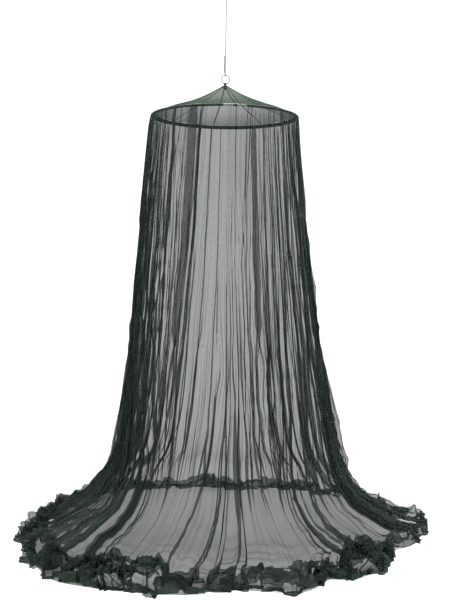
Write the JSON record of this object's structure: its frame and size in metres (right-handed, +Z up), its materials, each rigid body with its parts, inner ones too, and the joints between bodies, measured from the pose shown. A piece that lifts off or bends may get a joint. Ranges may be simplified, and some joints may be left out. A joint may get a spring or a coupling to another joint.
{
  "type": "mosquito net canopy with hoop",
  "caption": "Round hanging mosquito net: a cord and wire ring carry a shallow cone crown over a rod hoop, and a long gathered net skirt falls from it to a ruffled hem on the floor.",
  "frame": {"origin": "the point that the loop at the top of the hanging cord hangs from, its inside top", "axes": "+Z up along the cord; -Y is the front, where the hoop's casing is open; +X to the right seen from the front"},
  "size_m": [1.6795, 1.7729, 2.2707],
  "materials": {
    "net": "matt dark green knitted hexagon mesh, see-through",
    "tape": "matt dark green woven tape",
    "cord": "white twisted cord",
    "ring_steel": "bright plated steel wire",
    "rod": "light grey smooth rod",
    "connector": "black moulded sleeve"
  },
  "bodies": {
    "root": {"split_ring": "ring_steel", "cord_eye": "cord", "suspension_cord": "cord", "top_knot": "cord", "top_loop": "cord", "apex_loop": "tape", "apex_knot": "tape", "hoop_rod": "rod", "hoop_connector": "connector", "hoop_casing": "tape", "crown_gore_1": "net", "crown_gore_2": "net", "crown_gore_3": "net", "crown_gore_4": "net", "crown_gore_5": "net", "crown_gore_6": "net", "crown_gore_7": "net", "crown_gore_8": "net", "skirt_panel_1": "net", "skirt_panel_2": "net", "skirt_panel_3": "net", "skirt_panel_4": "net", "skirt_panel_5": "net", "skirt_panel_6": "net", "skirt_panel_7": "net", "skirt_panel_8": "net"}
  },
  "joints": []
}
